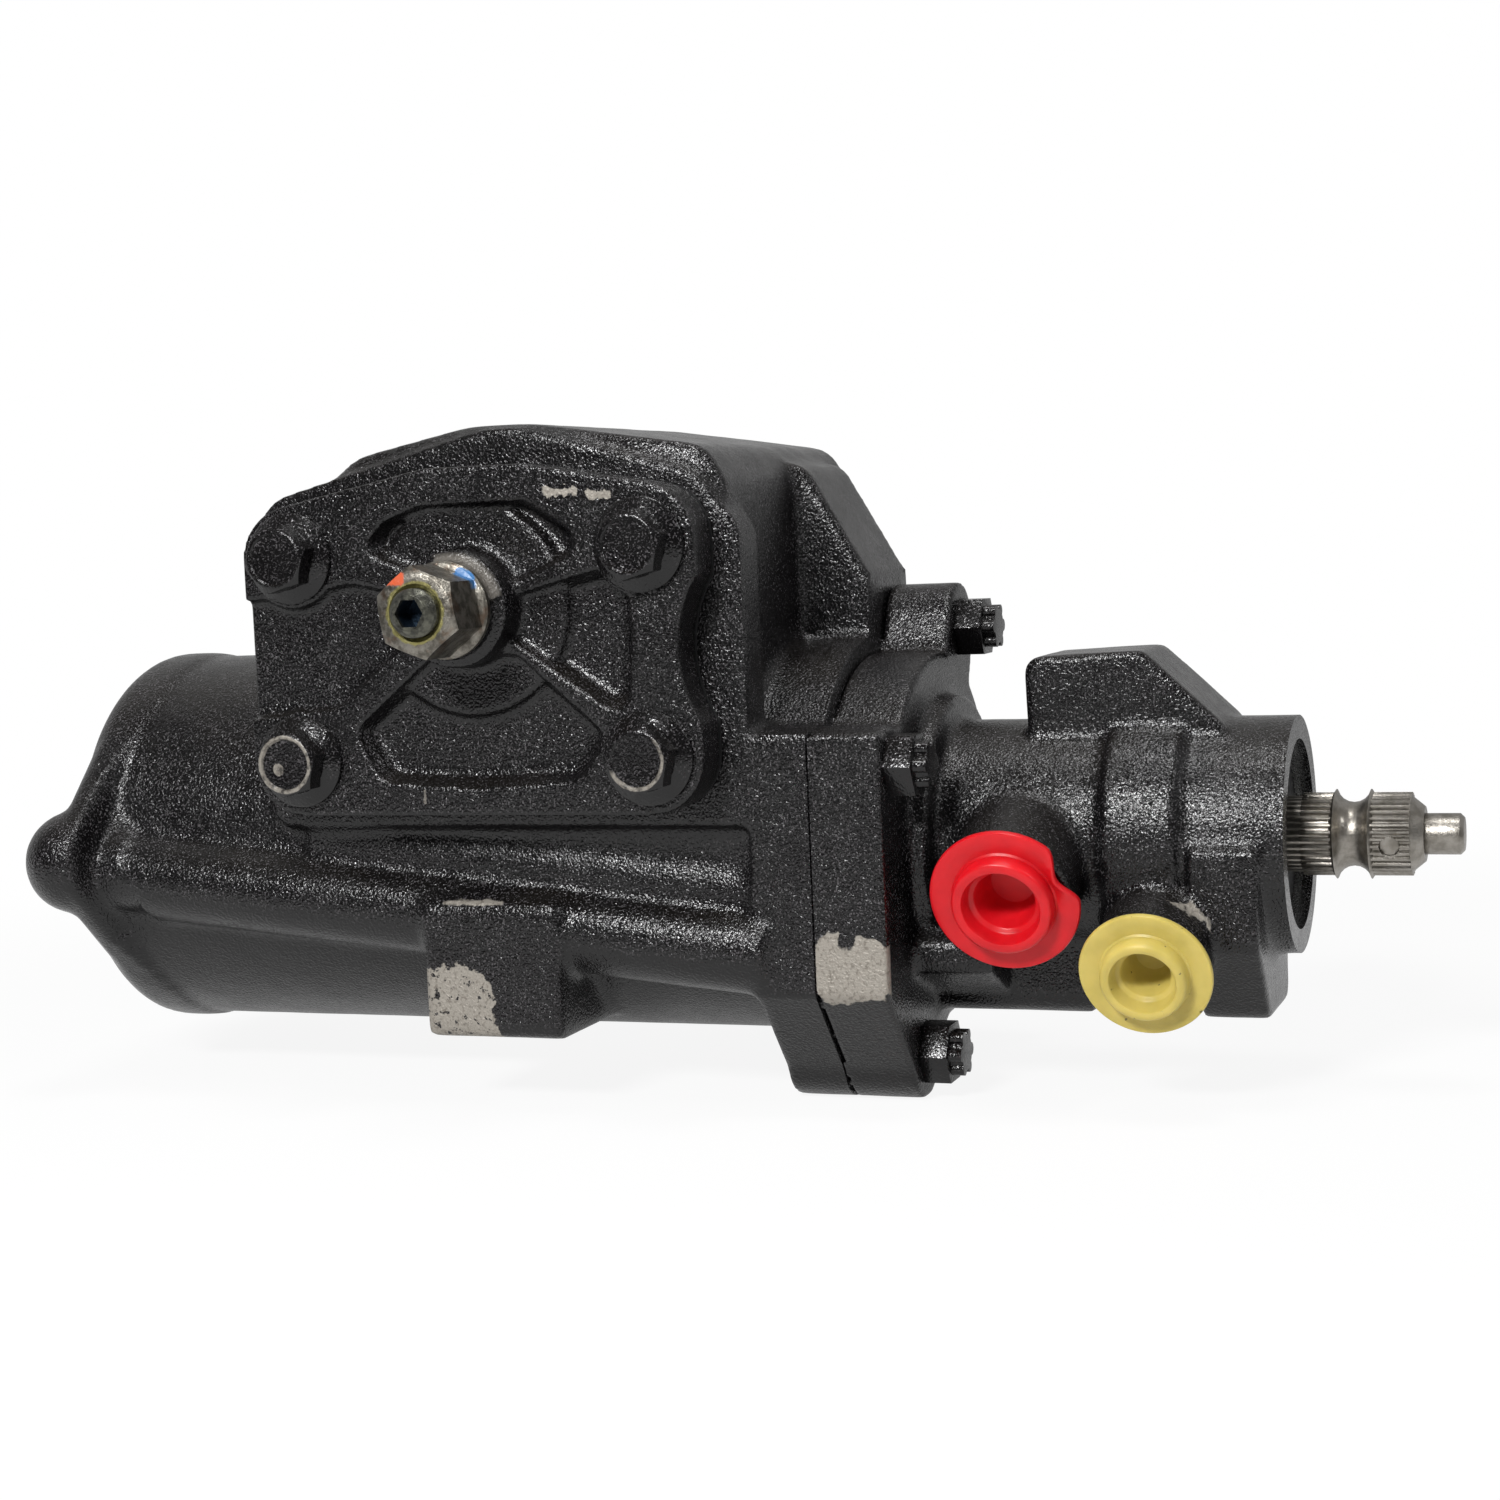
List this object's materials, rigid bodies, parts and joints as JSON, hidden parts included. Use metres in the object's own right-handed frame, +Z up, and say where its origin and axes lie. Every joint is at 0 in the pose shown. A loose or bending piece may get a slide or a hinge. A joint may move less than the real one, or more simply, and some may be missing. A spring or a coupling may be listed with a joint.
{
  "type": "steering gearbox",
  "caption": "Power steering gearbox: cast housing with side cover, valve housing with capped hose ports, splined input shaft, and a worm, rack piston and sector shaft inside.",
  "frame": {"origin": "bottom centre of the part's box", "axes": "+X along the worm axis towards the input shaft, +Y along the sector axis towards the output, +Z up"},
  "size_m": [0.3468, 0.2062, 0.162],
  "materials": {
    "black_casting": "semi-gloss black paint over rough sand-cast iron",
    "black_bolt": "black paint, worn bare on two heads",
    "zinc": "dull zinc plate",
    "gasket_rubber": "matt",
    "ring_plastic": "filled low-friction plastic",
    "bearing_steel": "ground",
    "bronze": "machined",
    "shaft_steel": "machined, bare",
    "piston_iron": "machined",
    "red_plastic": "soft moulded",
    "yellow_plastic": "soft moulded, slightly translucent"
  },
  "bodies": {
    "housing": {"gear_housing": "black_casting", "side_cover": "black_casting", "cover_gasket": "gasket_rubber", "cover_bolts": "black_bolt", "adjuster_screw": "zinc", "adjuster_lock_nut": "zinc", "valve_housing": "black_casting", "valve_housing_bolts": "black_bolt", "valve_housing_oring": "gasket_rubber", "worm_race_nut": "bearing_steel", "worm_lower_bearing": "bearing_steel", "worm_upper_bearing": "bearing_steel", "worm_upper_race": "bearing_steel", "input_bearing": "bearing_steel", "input_seal": "gasket_rubber", "input_dust_seal": "gasket_rubber", "input_snap_ring": "bearing_steel", "cover_bushing": "bronze", "sector_bearing": "bearing_steel", "sector_seal": "gasket_rubber", "sector_washer": "bearing_steel", "sector_dust_seal": "gasket_rubber", "sector_snap_ring": "bearing_steel", "pressure_tube_seat": "bronze", "return_tube_seat": "bronze"},
    "worm": {"worm_shaft": "shaft_steel", "valve_sleeve": "shaft_steel", "sleeve_rings": "ring_plastic"},
    "input": {"input_shaft": "shaft_steel", "torsion_bar": "shaft_steel", "torsion_bar_pin": "shaft_steel"},
    "piston": {"rack_piston": "piston_iron", "piston_ring": "ring_plastic", "worm_balls": "bearing_steel", "ball_return_guide": "bearing_steel", "guide_clamp": "bearing_steel", "clamp_screws": "bearing_steel"},
    "sector": {"sector_shaft": "shaft_steel"},
    "pressure_cap": {"pressure_port_cap": "red_plastic"},
    "return_cap": {"return_port_cap": "yellow_plastic"}
  },
  "joints": [
    {"name": "worm_turn", "type": "hinge", "parent": "housing", "child": "worm", "pos_m": [0.04665, -0.0129, 0.06], "axis": [1, 0, 0], "range_deg": [-720, 720]},
    {"name": "piston_slide", "type": "slide", "parent": "housing", "child": "piston", "axis": [1, 0, 0], "range_m": [-0.0252, 0.0252]},
    {"name": "sector_swing", "type": "hinge", "parent": "housing", "child": "sector", "pos_m": [-0.04335, -0.0129, 0.12], "axis": [0, 1, 0], "range_deg": [-42.4, 42.4]},
    {"name": "input_twist", "type": "hinge", "parent": "worm", "child": "input", "pos_m": [0.10665, -0.0129, 0.06], "axis": [1, 0, 0], "range_deg": [-4, 4], "stiffness_Nm_per_rad": 60},
    {"name": "pressure_cap_pull", "type": "slide", "parent": "housing", "child": "pressure_cap", "axis": [0, -0.9397, -0.342], "range_m": [0, 0.03]},
    {"name": "return_cap_pull", "type": "slide", "parent": "housing", "child": "return_cap", "axis": [0, -0.9397, -0.342], "range_m": [0, 0.03]}
  ],
  "couplings": [
    {"joint": "piston_slide", "follows": "worm_turn", "m_per_rad": -0.0019894},
    {"joint": "sector_swing", "follows": "worm_turn", "ratio": 0.058513}
  ]
}
